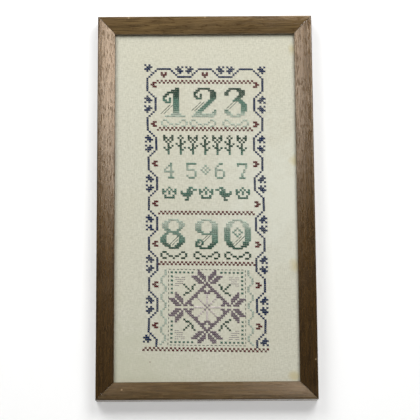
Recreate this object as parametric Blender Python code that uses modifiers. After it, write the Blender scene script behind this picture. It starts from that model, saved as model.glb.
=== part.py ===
"""Framed cross stitch sampler: four mitred rails, a stretched linen and the board behind it.

Metres, +Z up. The sampler hangs upright. Its face looks along -Y and its flat back lies in the plane
y = 0. The origin is the middle of the top rail's back, where the frame bears on the wall.
Blender 4.5: blender --background --python part.py
"""

import math

import bmesh
import bpy
from mathutils import Matrix, Vector

# Driving dimensions of the frame
FRAME_WIDTH = 0.1905
FRAME_HEIGHT = 0.3415
FIT_GAP = 0.0003

# Driving dimensions of the moulding, with its depth taken before the outer arris is rounded
RAIL_WIDTH = 0.0156
RAIL_DEPTH = 0.018
FACE_FALL = 0.0034
FACE_CROWN = 0.0005
FACE_STEPS = 4
LIP_THICKNESS = 0.0035
REBATE_WIDTH = 0.005
OUTER_ARRIS_RADIUS = 0.0012
LIP_ARRIS_RADIUS = 0.0006
BACK_ARRIS_RADIUS = 0.0004
ARRIS_STEPS = 4
SHARP_ANGLE = math.radians(35)
WELD_DISTANCE = 1e-6

# Driving dimensions of the linen and the board
SHEET_SIDE_GAP = 0.0004
LINEN_THICKNESS = 0.001
LINEN_SAG = 0.0002
LINEN_CELLS_ACROSS = 14
LINEN_CELLS_UP = 24
BOARD_THICKNESS = 0.003
BOARD_ARRIS = 0.0003

# Slow ripples of the linen: share of its sag, turns across, turns up and phase in turns
LINEN_RIPPLES = ((0.25, 0.0, 1.7, 0.2), (0.25, 1.3, -0.8, 0.25))

# Sizes worked out from the driving dimensions, as depths in front of the back plane
LIP_FRONT = RAIL_DEPTH - FACE_FALL
SHOULDER = LIP_FRONT - LIP_THICKNESS
LINEN_FRONT = SHOULDER - FIT_GAP
BOARD_FRONT = LINEN_FRONT - LINEN_THICKNESS - LINEN_SAG - FIT_GAP
BACK_FLAT_WIDTH = RAIL_WIDTH - REBATE_WIDTH
SIGHT_WIDTH = FRAME_WIDTH - 2 * RAIL_WIDTH
SIGHT_HEIGHT = FRAME_HEIGHT - 2 * RAIL_WIDTH
SHEET_WIDTH = SIGHT_WIDTH + 2 * (REBATE_WIDTH - SHEET_SIDE_GAP)
SHEET_HEIGHT = SIGHT_HEIGHT + 2 * (REBATE_WIDTH - SHEET_SIDE_GAP)
FRAME_CENTRE_Z = BACK_FLAT_WIDTH / 2 - FRAME_HEIGHT / 2

# Finishes: linear colour and roughness
STAINED_WOOD = ("stained_wood", (0.105, 0.066, 0.032), 0.45)
UNBLEACHED_LINEN = ("unbleached_linen", (0.70, 0.67, 0.53), 0.95)
GREY_BOARD = ("grey_board", (0.27, 0.21, 0.14), 0.9)

# Name, turn about the frame's middle from the top rail, outer length, and reach from the middle
RAILS = (
    ("rail_top", 0.0, FRAME_WIDTH, FRAME_HEIGHT / 2),
    ("rail_right", math.radians(90), FRAME_HEIGHT, FRAME_WIDTH / 2),
    ("rail_bottom", math.radians(180), FRAME_WIDTH, FRAME_HEIGHT / 2),
    ("rail_left", math.radians(270), FRAME_HEIGHT, FRAME_WIDTH / 2),
)


def clear_scene():
    """Remove every object that the file opened with."""
    for item in list(bpy.data.objects):
        bpy.data.objects.remove(item, do_unlink=True)


def make_collection(name):
    """Add a collection to the scene."""
    collection = bpy.data.collections.new(name)
    bpy.context.scene.collection.children.link(collection)
    return collection


def make_material(finish):
    """One Principled material from a finish: its name, linear colour and roughness."""
    name, colour, roughness = finish
    material = bpy.data.materials.new(name)
    material.use_nodes = True
    shader = material.node_tree.nodes["Principled BSDF"]
    shader.inputs["Base Color"].default_value = (*colour, 1.0)
    shader.inputs["Roughness"].default_value = roughness
    return material


def rounded_corner(before, corner, after, radius):
    """Points of the arc that rounds a corner between two straight edges."""
    to_before = (before - corner).normalized()
    to_after = (after - corner).normalized()
    half_angle = to_before.angle(to_after) / 2
    centre = corner + (to_before + to_after).normalized() * radius / math.sin(half_angle)
    start = corner + to_before * radius / math.tan(half_angle) - centre
    sweep = math.pi - 2 * half_angle
    if start.cross(corner - centre) < 0:
        sweep = -sweep
    return [
        centre + Matrix.Rotation(sweep * step / ARRIS_STEPS, 2) @ start
        for step in range(ARRIS_STEPS + 1)
    ]


def moulding_outline():
    """Section of the moulding: x runs outwards from the sight edge, y forwards from the back."""
    outer_face = Vector((RAIL_WIDTH, RAIL_DEPTH))
    lip_face = Vector((0.0, LIP_FRONT))
    face = []
    for step in range(1, FACE_STEPS):
        share = step / FACE_STEPS
        crown = Vector((0.0, FACE_CROWN * 4 * share * (1 - share)))
        face.append(outer_face.lerp(lip_face, share) + crown)

    corners = [(Vector((RAIL_WIDTH, 0.0)), BACK_ARRIS_RADIUS), (outer_face, OUTER_ARRIS_RADIUS)]
    corners += [(point, 0.0) for point in face]
    corners += [
        (lip_face, LIP_ARRIS_RADIUS),
        (Vector((0.0, SHOULDER)), 0.0),
        (Vector((REBATE_WIDTH, SHOULDER)), 0.0),
        (Vector((REBATE_WIDTH, 0.0)), 0.0),
    ]
    outline = []
    for index, (corner, radius) in enumerate(corners):
        if radius == 0.0:
            outline.append(corner)
            continue
        before = corners[index - 1][0]
        after = corners[(index + 1) % len(corners)][0]
        outline += rounded_corner(before, corner, after, radius)
    return outline


def extruded_mesh(name, outline, length):
    """Closed mesh of an outline extruded by half its length each way along Z."""
    curve = bpy.data.curves.new(name, "CURVE")
    curve.dimensions = "2D"
    curve.fill_mode = "BOTH"
    curve.extrude = length / 2
    spline = curve.splines.new("POLY")
    spline.points.add(len(outline) - 1)
    for point, place in zip(spline.points, outline):
        point.co = (place.x, place.y, 0.0, 1.0)
    spline.use_cyclic_u = True

    guide = bpy.data.objects.new(name + "_curve", curve)
    bpy.context.scene.collection.objects.link(guide)
    depsgraph = bpy.context.evaluated_depsgraph_get()
    mesh = bpy.data.meshes.new_from_object(guide.evaluated_get(depsgraph))
    mesh.name = name
    bpy.data.objects.remove(guide, do_unlink=True)

    shape = bmesh.new()
    shape.from_mesh(mesh)
    bmesh.ops.remove_doubles(shape, verts=shape.verts, dist=WELD_DISTANCE)
    bmesh.ops.recalc_face_normals(shape, faces=shape.faces)
    shape.to_mesh(mesh)
    shape.free()
    return mesh


def mitre_ends(mesh):
    """Shear both ends of a length of moulding to 45 degrees, shortest at the sight edge."""
    for vertex in mesh.vertices:
        inset = RAIL_WIDTH - vertex.co.x
        vertex.co.z -= math.copysign(inset, vertex.co.z)


def add_part(name, mesh, material, collection, parent):
    """Link a mesh as one named part of the sampler."""
    mesh.materials.clear()
    mesh.materials.append(material)
    part = bpy.data.objects.new(name, mesh)
    part.parent = parent
    collection.objects.link(part)
    return part


def make_rail(name, turn, outer_length, reach, wood, collection, centre):
    """One mitred rail, turned about the frame's middle, with its outer side at its reach."""
    mitre_gap = FIT_GAP * math.sqrt(2)
    mesh = extruded_mesh(name, moulding_outline(), outer_length - mitre_gap)
    mitre_ends(mesh)
    mesh.shade_smooth()
    mesh.set_sharp_from_angle(angle=SHARP_ANGLE)

    rail = add_part(name, mesh, wood, collection, centre)
    lay_down = Matrix(((0, 0, 1), (0, -1, 0), (1, 0, 0)))
    turned = Matrix.Rotation(turn, 3, "Y")
    rail.rotation_euler = (turned @ lay_down).to_euler()
    rail.location = turned @ Vector((0.0, 0.0, reach - RAIL_WIDTH))
    return rail


def linen_sag(across, up):
    """How far the stretched linen gives at a place from -1 to 1 each way, nothing at its edges."""
    tension = (1 - across ** 2) * (1 - up ** 2)
    level = 1 - sum(share for share, *_ in LINEN_RIPPLES)
    for share, turns_across, turns_up, phase in LINEN_RIPPLES:
        turns = (turns_across * across + turns_up * up) / 2 + phase
        level += share * math.sin(math.tau * turns)
    return LINEN_SAG * tension * level


def make_linen(linen, collection, centre):
    """The linen: a thin sheet, slightly uneven, with its edges behind the lip."""
    mesh = bpy.data.meshes.new("linen_cloth")
    shape = bmesh.new()
    bmesh.ops.create_grid(
        shape, x_segments=LINEN_CELLS_ACROSS, y_segments=LINEN_CELLS_UP, size=1.0
    )
    for vertex in shape.verts:
        across, up = vertex.co.x, vertex.co.y
        vertex.co = (
            across * SHEET_WIDTH / 2,
            up * SHEET_HEIGHT / 2,
            -linen_sag(across, up),
        )
    shape.to_mesh(mesh)
    shape.free()

    cloth = add_part("linen_cloth", mesh, linen, collection, centre)
    cloth.rotation_euler = (math.radians(90), 0.0, 0.0)
    cloth.location = (0.0, -LINEN_FRONT, 0.0)
    body = cloth.modifiers.new("cloth_thickness", "SOLIDIFY")
    body.thickness = LINEN_THICKNESS
    body.offset = -1.0
    return cloth


def make_board(board, collection, centre):
    """The backing board: a plain sheet with eased edges."""
    mesh = bpy.data.meshes.new("backing_board")
    shape = bmesh.new()
    bmesh.ops.create_cube(shape, size=1.0)
    bmesh.ops.scale(shape, vec=(SHEET_WIDTH, BOARD_THICKNESS, SHEET_HEIGHT), verts=shape.verts)
    shape.to_mesh(mesh)
    shape.free()

    backing = add_part("backing_board", mesh, board, collection, centre)
    backing.location = (0.0, BOARD_THICKNESS / 2 - BOARD_FRONT, 0.0)
    eased = backing.modifiers.new("eased_edges", "BEVEL")
    eased.width = BOARD_ARRIS
    eased.segments = 1
    return backing


def main():
    """Build the sampler about an empty at the middle of its back."""
    clear_scene()
    collection = make_collection("framed_sampler")
    centre = bpy.data.objects.new("frame_centre", None)
    centre.location = (0.0, 0.0, FRAME_CENTRE_Z)
    collection.objects.link(centre)

    wood = make_material(STAINED_WOOD)
    for name, turn, outer_length, reach in RAILS:
        make_rail(name, turn, outer_length, reach, wood, collection, centre)
    make_linen(make_material(UNBLEACHED_LINEN), collection, centre)
    make_board(make_material(GREY_BOARD), collection, centre)


main()
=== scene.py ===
"""Looks of the framed cross stitch sampler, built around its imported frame.

Metres, +Z up. The sampler hangs on a wall with its face along -Y. The linen, the stitches and every
finish are made here. The rails and the backing board keep their own solids and get a finish.
"""

import sys

import logging
import math
from dataclasses import dataclass, field
from enum import Enum

import bmesh
import bpy
from mathutils import Matrix, Quaternion, Vector


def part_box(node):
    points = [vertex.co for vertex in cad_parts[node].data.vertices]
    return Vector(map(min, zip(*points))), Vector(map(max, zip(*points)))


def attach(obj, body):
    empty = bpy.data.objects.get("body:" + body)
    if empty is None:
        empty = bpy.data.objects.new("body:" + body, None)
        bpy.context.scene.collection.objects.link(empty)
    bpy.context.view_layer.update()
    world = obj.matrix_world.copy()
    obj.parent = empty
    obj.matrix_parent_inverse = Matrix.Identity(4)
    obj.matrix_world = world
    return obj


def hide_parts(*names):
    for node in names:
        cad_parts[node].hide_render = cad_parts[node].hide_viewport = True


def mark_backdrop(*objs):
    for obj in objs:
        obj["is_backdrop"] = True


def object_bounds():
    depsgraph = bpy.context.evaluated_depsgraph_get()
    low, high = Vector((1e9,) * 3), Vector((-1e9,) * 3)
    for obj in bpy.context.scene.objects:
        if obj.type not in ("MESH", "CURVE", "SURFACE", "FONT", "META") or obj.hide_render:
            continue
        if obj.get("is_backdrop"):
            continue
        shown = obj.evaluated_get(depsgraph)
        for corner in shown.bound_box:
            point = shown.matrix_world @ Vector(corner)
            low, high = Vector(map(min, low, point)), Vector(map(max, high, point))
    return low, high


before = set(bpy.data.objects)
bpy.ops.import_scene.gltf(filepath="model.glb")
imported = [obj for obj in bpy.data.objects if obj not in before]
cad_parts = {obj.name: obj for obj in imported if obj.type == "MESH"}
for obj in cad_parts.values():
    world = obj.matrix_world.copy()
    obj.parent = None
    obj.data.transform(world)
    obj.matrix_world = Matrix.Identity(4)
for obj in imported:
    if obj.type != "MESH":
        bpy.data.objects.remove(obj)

LOG = logging.getLogger("sampler")
BODY = "root"
MM = 0.001

Place = tuple[float, float]
Sockets = dict[int | str, object]


def linear(code: str) -> tuple[float, float, float, float]:
    """Turn an sRGB hex colour into the linear colour that a shader takes.

    Args:
        code: The colour as "#RRGGBB".

    Returns:
        Red, green, blue and a full alpha.
    """
    shares = [int(code[place : place + 2], 16) / 255 for place in (1, 3, 5)]
    red, green, blue = (
        share / 12.92 if share <= 0.04045 else ((share + 0.055) / 1.055) ** 2.4 for share in shares
    )
    return red, green, blue, 1.0


def first_output(node: bpy.types.Node) -> bpy.types.NodeSocket:
    """The first output that a node offers with its settings."""
    return next(output for output in node.outputs if output.enabled)


def add_node(
    tree: bpy.types.NodeTree, kind: str, sockets: Sockets | None = None, **settings: object
) -> bpy.types.Node:
    """Add a node to a tree, with its settings and links.

    Args:
        tree: The shader or geometry tree.
        kind: The node's Blender type.
        sockets: Inputs by name or index, each a value, or the output or the node that feeds it.
        settings: Properties of the node.

    Returns:
        The new node.
    """
    node = tree.nodes.new(kind)
    for name, value in settings.items():
        setattr(node, name, value)
    for key, value in (sockets or {}).items():
        if isinstance(value, bpy.types.Node):
            value = first_output(value)
        if isinstance(value, bpy.types.NodeSocket):
            tree.links.new(value, node.inputs[key])
        else:
            node.inputs[key].default_value = value
    return node


def blend(low: float, high: float, share: float) -> float:
    """A value part of the way from low to high."""
    return low + (high - low) * share


class Floss(Enum):
    """The skeins of stranded cotton that the sampler is worked in."""

    NAVY = "navy"
    BURGUNDY = "burgundy"
    GREEN = "green"
    MAUVE = "mauve"


class Grain(Enum):
    """The way a rail's grain runs, as the axis it follows."""

    ACROSS = 0
    UP = 2

    def stretched(self, along: float, across: float) -> tuple[float, ...]:
        """Pattern scales for X, Y and Z, from how often it repeats along and across the grain."""
        return tuple(along if axis == self.value else across for axis in range(3))


@dataclass(frozen=True)
class Spot:
    """A round mark on the face, its place from the frame's middle and its reach in millimetres."""

    across: float
    up: float
    reach: float
    code: str
    strength: float
    # How much of its reach is as strong as its middle
    core: float = 0.2
    # How far a ragged edge strays, as a share of its reach, over this range of noise
    stray: float = 0.3
    noise_spread: Place = (0.3, 0.7)


class Surface:
    """A Principled material under construction, patterned over the object's own coordinates."""

    def __init__(self, name: str, roughness: float, **constants: object) -> None:
        """Start the material.

        Args:
            name: The material's name.
            roughness: How matt the surface is.
            constants: Other values of the shader, by socket name with underscores for spaces.
        """
        self.material = bpy.data.materials.new(name)
        self.material.use_nodes = True
        self.tree = self.material.node_tree
        self.shader = self.tree.nodes["Principled BSDF"]
        for socket, value in {"Roughness": roughness, **constants}.items():
            self.shader.inputs[socket.replace("_", " ")].default_value = value
        self.place = self.node("ShaderNodeTexCoord").outputs["Object"]

    def node(self, kind: str, sockets: Sockets | None = None, **settings: object) -> bpy.types.Node:
        """Add a node to the material's tree."""
        return add_node(self.tree, kind, sockets, **settings)

    def feed(self, source: bpy.types.Node, *inputs: str) -> None:
        """Link a node to inputs of the shader."""
        for name in inputs:
            self.tree.links.new(first_output(source), self.shader.inputs[name])

    def noise(self, scale: tuple[float, ...], detail: float, **sockets: float) -> bpy.types.Node:
        """Noise over the object's own coordinates.

        Args:
            scale: Repeats for each metre along X, Y and Z.
            detail: How many finer layers the noise has.
            sockets: Other inputs of the noise.

        Returns:
            The noise, around 0.5.
        """
        moved = self.node("ShaderNodeMapping", {"Vector": self.place, "Scale": scale})
        inputs = {"Vector": moved, "Scale": 1.0, "Detail": detail, **sockets}
        return self.node("ShaderNodeTexNoise", inputs)

    def spread(self, pattern: bpy.types.Node, source: Place, codes: tuple[str, ...]) -> bpy.types.Node:
        """Spread colours evenly over a range of a pattern.

        Args:
            pattern: The pattern.
            source: The range of it that is read.
            codes: The colours as sRGB hex codes.

        Returns:
            The colour all over the surface.
        """
        share = self.node("ShaderNodeMapRange", {0: pattern, 1: source[0], 2: source[1]})
        ramp = self.node("ShaderNodeValToRGB", {0: share})
        stops = ramp.color_ramp.elements
        for index, code in enumerate(codes):
            place = index / (len(codes) - 1)
            stop = stops[index] if index < len(stops) else stops.new(place)
            stop.position = place
            stop.color = linear(code)
        return ramp

    def lay(
        self, colour: bpy.types.Node, pattern: object, source: Place, shares: Place, code: str
    ) -> bpy.types.Node:
        """Lay one more colour over the surface, as much as a pattern says.

        Args:
            colour: The colour underneath.
            pattern: The pattern.
            source: The range of it that is read.
            shares: How much of the new colour there is at the ends of that range.
            code: The new colour as an sRGB hex code.

        Returns:
            The mixed colour.
        """
        share = self.node("ShaderNodeMapRange", dict(enumerate((pattern, *source, *shares))))
        return self.node("ShaderNodeMix", {0: share, 6: colour, 7: linear(code)}, data_type="RGBA")

    def mark(
        self, colour: bpy.types.Node, spot: Spot, middle: Vector, ragged: bpy.types.Node | None = None
    ) -> bpy.types.Node:
        """Lay a round mark over the surface.

        Args:
            colour: The colour underneath.
            spot: The mark.
            middle: The middle of the sampler, from which it is placed.
            ragged: Noise that makes its edge stray, if it isn't neat.

        Returns:
            The mixed colour.
        """
        reach = spot.reach * MM
        centre = (middle.x + spot.across * MM, 0.0, middle.z + spot.up * MM)
        flat = self.node("ShaderNodeVectorMath", {0: self.place, 1: (1, 0, 1)}, operation="MULTIPLY")
        away = self.node("ShaderNodeVectorMath", {0: flat, 1: centre}, operation="DISTANCE")
        if ragged:
            stray = spot.stray * reach
            ends = (ragged, *spot.noise_spread, -stray, stray)
            edge = self.node("ShaderNodeMapRange", dict(enumerate(ends)))
            away = self.node("ShaderNodeMath", {0: away, 1: edge}, operation="ADD")
        return self.lay(colour, away, (spot.core * reach, reach), (spot.strength, 0.0), spot.code)

    def finish(
        self, colour: bpy.types.Node, height: bpy.types.Node, depth: float, *layers: str
    ) -> bpy.types.Material:
        """Link the colour and the relief to the shader.

        Args:
            colour: The base colour.
            height: The relief, from 0 to 1.
            depth: How deep that relief is, in metres.
            layers: Other normals of the shader that show it.

        Returns:
            The finished material.
        """
        bump = self.node("ShaderNodeBump", {"Height": height, "Distance": depth, "Strength": 1.0})
        self.feed(colour, "Base Color")
        self.feed(bump, "Normal", *layers)
        return self.material


@dataclass(frozen=True)
class StainedWood:
    """Oak, planed, stained brown and waxed: open pores, streaks of grain and a soft gloss."""

    grain: Grain
    tones: tuple[str, ...]
    pore: str = "#22160A"
    grey: str = "#6E5F4C"
    sheen: str = "#FFCA84"
    gloss: float = 0.63
    density: float = 1.6
    roughness: float = 0.25
    wax: float = 0.8
    # An open pore holds little wax and mirrors nothing
    pore_roughness: float = 0.42
    pore_wax: float = 0.3
    wax_roughness: float = 0.17
    pore_length: float = 5.5 * MM
    # A pore is 0.3 mm wide, which is under a pixel, so it is drawn three times as wide
    pore_width: float = 1.0 * MM
    pore_spread: Place = (0.56, 0.68)
    pore_softness: float = 0.4
    pore_stain: Place = (0.0, 0.7)
    streak_length: float = 24 * MM
    streak_width: float = 1.3 * MM
    streak_spread: Place = (0.3, 0.7)
    streak_waver: float = 0.4
    patch: float = 45 * MM
    patch_spread: Place = (0.5, 0.8)
    patch_grey: Place = (0.0, 0.25)
    pore_depth: float = 0.022 * MM
    # Fibres too fine to see one by one, which spread the gloss across the grain
    fibre_length: float = 12 * MM
    fibre_width: float = 0.25 * MM
    fibre_depth: float = 0.06 * MM
    # Bare wood in four nicks
    nicks: tuple[Spot, ...] = tuple(
        Spot(*place, "#B49A76", 0.7, core=0.4)
        for place in ((-67.8, 169.3, 1.2), (0.3, 169.4, 1.0), (-72.7, -161.8, 1.0), (93.4, -136.8, 0.9))
    )

    def material(self, middle: Vector) -> bpy.types.Material:
        """Make the wood.

        Args:
            middle: The middle of the sampler, from which the nicks are placed.

        Returns:
            The material.
        """
        surface = Surface(
            f"stained_oak_{self.grain.name.lower()}",
            self.roughness,
            IOR=self.density,
            Specular_IOR_Level=self.gloss,
            Specular_Tint=linear(self.sheen),
            Coat_Roughness=self.wax_roughness,
            Coat_IOR=self.density,
        )
        run = self.grain.stretched(1 / self.streak_length, 1 / self.streak_width)
        streaks = surface.noise(run, 3.0, Distortion=self.streak_waver)
        colour = surface.spread(streaks, self.streak_spread, self.tones)
        patches = surface.noise((1 / self.patch,) * 3, 2.0)
        colour = surface.lay(colour, patches, self.patch_spread, self.patch_grey, self.grey)
        run = self.grain.stretched(1 / self.pore_length, 1 / self.pore_width)
        grooves = surface.noise(run, 1.0, Roughness=self.pore_softness)
        pores = surface.node("ShaderNodeMapRange", dict(enumerate((grooves, *self.pore_spread))))
        colour = surface.lay(colour, pores, (0.0, 1.0), self.pore_stain, self.pore)
        for solid, open_pore, inputs in (
            (self.roughness, self.pore_roughness, "Roughness"),
            (self.wax, self.pore_wax, "Coat Weight"),
        ):
            surface.feed(surface.node("ShaderNodeMapRange", {0: pores, 3: solid, 4: open_pore}), inputs)
        for nick in self.nicks:
            colour = surface.mark(colour, nick, middle)
        run = self.grain.stretched(1 / self.fibre_length, 1 / self.fibre_width)
        fibres = surface.noise(run, 0.0)
        solid = surface.node("ShaderNodeMapRange", {0: pores, 3: 1.0, 4: 0.0})
        share = self.fibre_depth / self.pore_depth
        height = surface.node("ShaderNodeMath", {0: fibres, 1: share, 2: solid}, operation="MULTIPLY_ADD")
        return surface.finish(colour, height, self.pore_depth, "Coat Normal")


@dataclass(frozen=True)
class EvenWeave:
    """Unbleached linen, plain woven 28 threads to the inch: matt, slubbed, a little yellowed with age."""

    # Tones of the yarns over the noise that also sets the relief: partly their own slubbed tone and partly
    # painted shade, darkest where the relief is lowest
    threads: tuple[str, ...] = ("#D0CEBA", "#DBD9C6", "#E5E3D1")
    thread_spread: Place = (0.72, 1.28)
    roughness: float = 0.95
    sheen: float = 0.15
    sheen_roughness: float = 0.6
    slub_length: float = 3.5 * MM
    yarn: float = 0.9 * MM
    cloud: float = 60 * MM
    cloud_spread: Place = (0.4, 0.75)
    cloud_yellow: Place = (0.0, 0.12)
    yellowed: str = "#D3C79A"
    # Ragged edges stray and return about 90 times in a metre
    ragged: float = 90.0
    fibre_depth: float = 0.03 * MM
    # A patch painted lighter on the right side as painted light, one painted darker at the lower left as
    # painted shade, four spots stained with age and a speck of rust
    stains_and_painted_light: tuple[Spot, ...] = (
        Spot(72.0, 5.0, 80.0, "#EAEBDC", 0.6),
        Spot(-78.0, -165.0, 85.0, "#CFCFB6", 0.6),
        Spot(78.5, 140.7, 6.5, "#D3C79A", 0.75),
        Spot(80.0, 39.8, 7.0, "#D3C79A", 0.75),
        Spot(78.0, -54.8, 7.0, "#D3C79A", 0.75),
        Spot(75.0, -150.4, 6.0, "#D3C79A", 0.75),
        Spot(-48.8, -137.6, 0.9, "#8A6A48", 0.8),
    )

    def material(self, middle: Vector) -> bpy.types.Material:
        """Make the linen.

        Args:
            middle: The middle of the sampler, from which the painted light, the painted shade and the
                stained spots are placed.

        Returns:
            The material.
        """
        surface = Surface(
            "woven_linen", self.roughness, Sheen_Weight=self.sheen, Sheen_Roughness=self.sheen_roughness
        )
        weft = surface.noise((1 / self.slub_length, 1, 1 / self.yarn), 1.0)
        warp = surface.noise((1 / self.yarn, 1, 1 / self.slub_length), 1.0)
        crossing = surface.node("ShaderNodeMath", {0: weft, 1: warp}, operation="ADD")
        # Yarn tones with painted shade in the low places of the relief
        colour = surface.spread(crossing, self.thread_spread, self.threads)
        clouds = surface.noise((1 / self.cloud,) * 3, 2.0)
        colour = surface.lay(colour, clouds, self.cloud_spread, self.cloud_yellow, self.yellowed)
        ragged = surface.noise((self.ragged,) * 3, 2.0)
        # The first two marks are painted light and painted shade, the rest spots stained with age and rust
        for blotch in self.stains_and_painted_light:
            colour = surface.mark(colour, blotch, middle, ragged)
        return surface.finish(colour, crossing, self.fibre_depth)


@dataclass(frozen=True)
class StrandedCotton:
    """Mercerised cotton floss: a soft sheen, plies that show, and tones that shift along the skein."""

    floss: Floss
    shades: tuple[str, ...]
    gap: str = "#000000"
    gap_spread: Place = (0.3, 0.7)
    gap_dark: Place = (0.0, 0.3)
    gloss: float = 0.2
    sheen: float = 0.03
    sheen_roughness: float = 0.4
    # How much darker or lighter than its shade a stitch may be
    tone_range: Place = (0.86, 1.14)
    roughness: float = 0.8
    fibre: float = 0.35 * MM
    fibre_depth: float = 0.06 * MM

    def material(self) -> bpy.types.Material:
        """Make the floss, with its shade from the stitch's own attribute."""
        surface = Surface(
            f"cotton_floss_{self.floss.value}",
            self.roughness,
            Specular_IOR_Level=self.gloss,
            Sheen_Weight=self.sheen,
            Sheen_Roughness=self.sheen_roughness,
        )
        shade, tone = (
            surface.node("ShaderNodeAttribute", attribute_name=name).outputs["Fac"]
            for name in (SHADE, TONE)
        )
        colour = surface.spread(shade, (0.0, 1.0), self.shades)
        value = surface.node("ShaderNodeMapRange", {0: tone, 3: self.tone_range[0], 4: self.tone_range[1]})
        worn = surface.node("ShaderNodeHueSaturation", {"Value": value, "Color": colour})
        fibres = surface.noise((1 / self.fibre,) * 3, 2.0)
        colour = surface.lay(worn, fibres, self.gap_spread, self.gap_dark, self.gap)
        return surface.finish(colour, fibres, self.fibre_depth)


@dataclass(frozen=True)
class PressedBoard:
    """Grey board, pressed from waste paper: matt, with flecks of fibre."""

    tones: tuple[str, ...] = ("#7E705C", "#8F806A", "#9C8E78")
    tone_spread: Place = (0.3, 0.7)
    fleck: str = "#5C4E3E"
    fleck_spread: Place = (0.62, 0.7)
    fleck_dark: Place = (0.0, 0.6)
    roughness: float = 0.92
    fibre: float = 1.4 * MM
    fibre_depth: float = 0.08 * MM
    # Clouds of lighter and darker pulp, 18 to the metre
    clouds: float = 18.0

    def material(self) -> bpy.types.Material:
        """Make the board."""
        surface = Surface("pressed_grey_board", self.roughness)
        fibres = surface.noise((1 / self.fibre,) * 3, 3.0)
        clouds = surface.noise((self.clouds,) * 3, 3.0)
        colour = surface.spread(clouds, self.tone_spread, self.tones)
        colour = surface.lay(colour, fibres, self.fleck_spread, self.fleck_dark, self.fleck)
        return surface.finish(colour, fibres, self.fibre_depth)


# Names of the values that every stitch carries
SHADE = "shade"
TONE = "tone"
RUN = "run"
SLANT = "slant"


@dataclass
class Chart:
    """The counted design: column 1 is the left outer vine and row 0 the top vine, rows running down.

    A cross stitch fills one square of the chart. A line runs between holes, at half squares.
    """

    crosses: dict[Floss, dict[tuple[int, int], float]] = field(
        default_factory=lambda: {floss: {} for floss in Floss}
    )
    lines: dict[Floss, list[tuple[Place, Place, float]]] = field(
        default_factory=lambda: {floss: [] for floss in Floss}
    )

    def cross(self, floss: Floss, column: int, row: int, shade: float = 0.0) -> None:
        """Work one cross stitch."""
        self.crosses[floss][column, row] = shade

    def motif(
        self, floss: Floss, column: int, row: int, rows: tuple[str, ...], mirrored: bool = False
    ) -> None:
        """Work a motif from its chart.

        Args:
            floss: The skein.
            column: The motif's left column.
            row: Its top row.
            rows: The motif, an X for each cross stitch.
            mirrored: Whether it is worked the other way round.
        """
        for down, line in enumerate(rows):
            for across, mark in enumerate(reversed(line) if mirrored else line):
                if mark == "X":
                    shade = variegated(row + down) if floss is Floss.GREEN else 0.0
                    self.cross(floss, column + across, row + down, shade)

    def line(
        self, floss: Floss, start: Place, end: Place, shade: float = 0.0, stitch: float = 2.0
    ) -> None:
        """Work a line in back stitch.

        Args:
            floss: The skein.
            start: Column and row where the line starts.
            end: Column and row where it ends.
            shade: The shade along the skein.
            stitch: About how long each stitch is, in squares.
        """
        first, last = Vector(start), Vector(end)
        count = max(1, round((last - first).length / stitch))
        for step in range(count):
            here, there = first.lerp(last, step / count), first.lerp(last, (step + 1) / count)
            self.lines[floss].append(((here.x, here.y), (there.x, there.y), shade))

    def dashes(
        self, floss: Floss, start: Place, end: Place, shade: float, pitch: float = 2.0, over: float = 0.6
    ) -> None:
        """Work a line in running stitch, a little longer over the cloth than under it.

        Args:
            floss: The skein.
            start: Column and row where the line starts.
            end: Column and row where it ends.
            shade: The shade along the skein.
            pitch: The length of one stitch and one gap, in squares.
            over: How much of that lies over the cloth.
        """
        first, last = Vector(start), Vector(end)
        count = round((last - first).length / pitch)
        for step in range(count):
            here, there = first.lerp(last, step / count), first.lerp(last, (step + over) / count)
            self.lines[floss].append(((here.x, here.y), (there.x, there.y), shade))


# Shade of the green skein by row, from 0, dark, to 1, pale
GREEN_BY_ROW = (
    (9, 0.0), (14, 0.08), (16, 0.45), (21, 0.55), (23, 0.95), (29, 1.0),
    (33, 0.0), (40, 0.1), (43, 0.45), (48, 0.55), (50, 0.9), (53, 0.8), (56, 0.5),
    (58, 0.5), (62, 0.4), (68, 0.1), (74, 1.0), (79, 0.95), (81, 0.65), (86, 0.55), (88, 0.2), (95, 0.0),
)


def by_row(table: tuple[tuple[float, ...], ...], row: float) -> list[float]:
    """Read a table of values by row, in straight steps between its rows.

    Args:
        table: Rows in order, each with its values.
        row: The row to read it at.

    Returns:
        The values there, held beyond the table's ends.
    """
    row = min(max(row, table[0][0]), table[-1][0])
    for (above, *first), (below, *second) in zip(table, table[1:]):
        if row <= below:
            share = (row - above) / (below - above)
            return [blend(low, high, share) for low, high in zip(first, second)]
    return list(table[-1][1:])


def variegated(row: float) -> float:
    """Shade of the green skein at a row of the chart."""
    return by_row(GREEN_BY_ROW, row)[0]


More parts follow.
